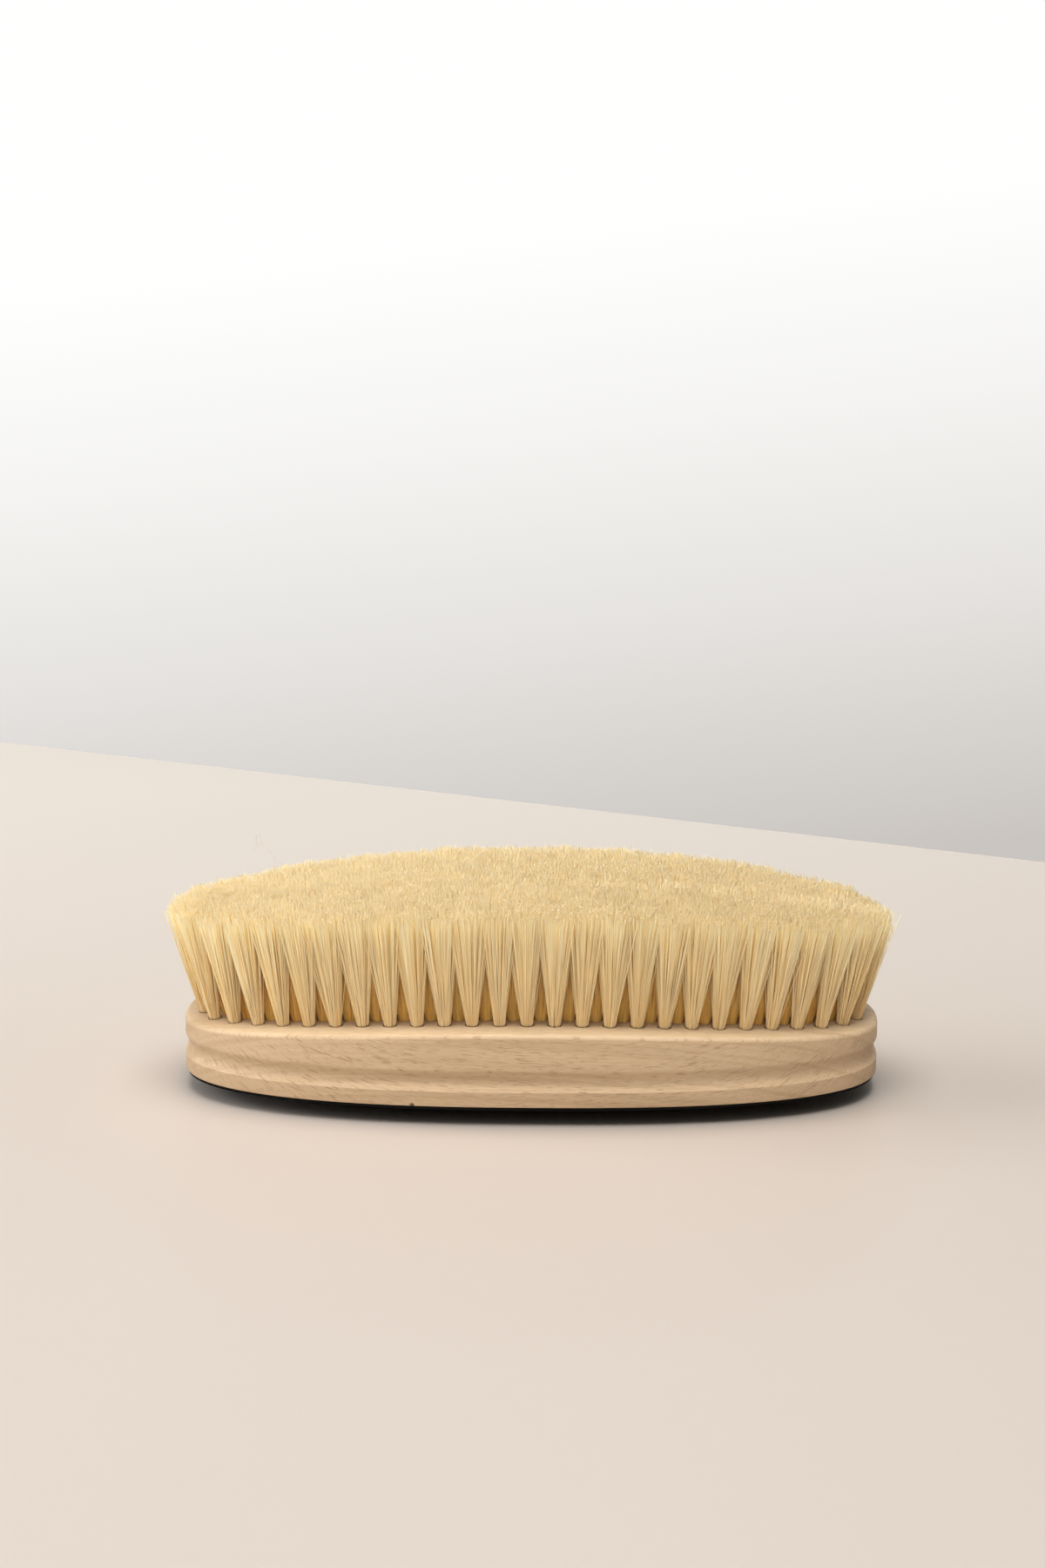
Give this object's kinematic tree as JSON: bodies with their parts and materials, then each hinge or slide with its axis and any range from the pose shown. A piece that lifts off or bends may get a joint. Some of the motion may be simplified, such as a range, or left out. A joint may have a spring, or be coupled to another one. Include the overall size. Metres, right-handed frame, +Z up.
{
  "type": "hand brush",
  "caption": "Long oval beech hand brush lying on its dark domed back, with a finger groove round the block and leaning cream bristle tufts.",
  "frame": {"origin": "centre of the flat land under the back, which is the middle of the base of the whole brush's box", "axes": "+X along the brush, +Y across it, +Z up through the bristles"},
  "size_m": [0.213, 0.0748, 0.0622],
  "materials": {
    "beech": "bare sanded beech, fine short flecks along the grain",
    "black_lacquer": "satin black lacquer on wood",
    "bristle": "cream bristle, soft sheen along the hairs",
    "steel_wire": "drawn steel wire"
  },
  "bodies": {
    "root": {"drilled_block": "beech", "back_cover": "black_lacquer", "tuft_ring_1": "bristle", "tuft_ring_2": "bristle", "tuft_ring_3": "bristle", "tuft_ring_4": "bristle", "tuft_ring_5": "bristle", "tuft_centre_row": "bristle", "drawing_wire_ring_1": "steel_wire", "drawing_wire_ring_2": "steel_wire", "drawing_wire_ring_3": "steel_wire", "drawing_wire_ring_4": "steel_wire", "drawing_wire_ring_5": "steel_wire", "drawing_wire_centre_row": "steel_wire"}
  },
  "joints": []
}
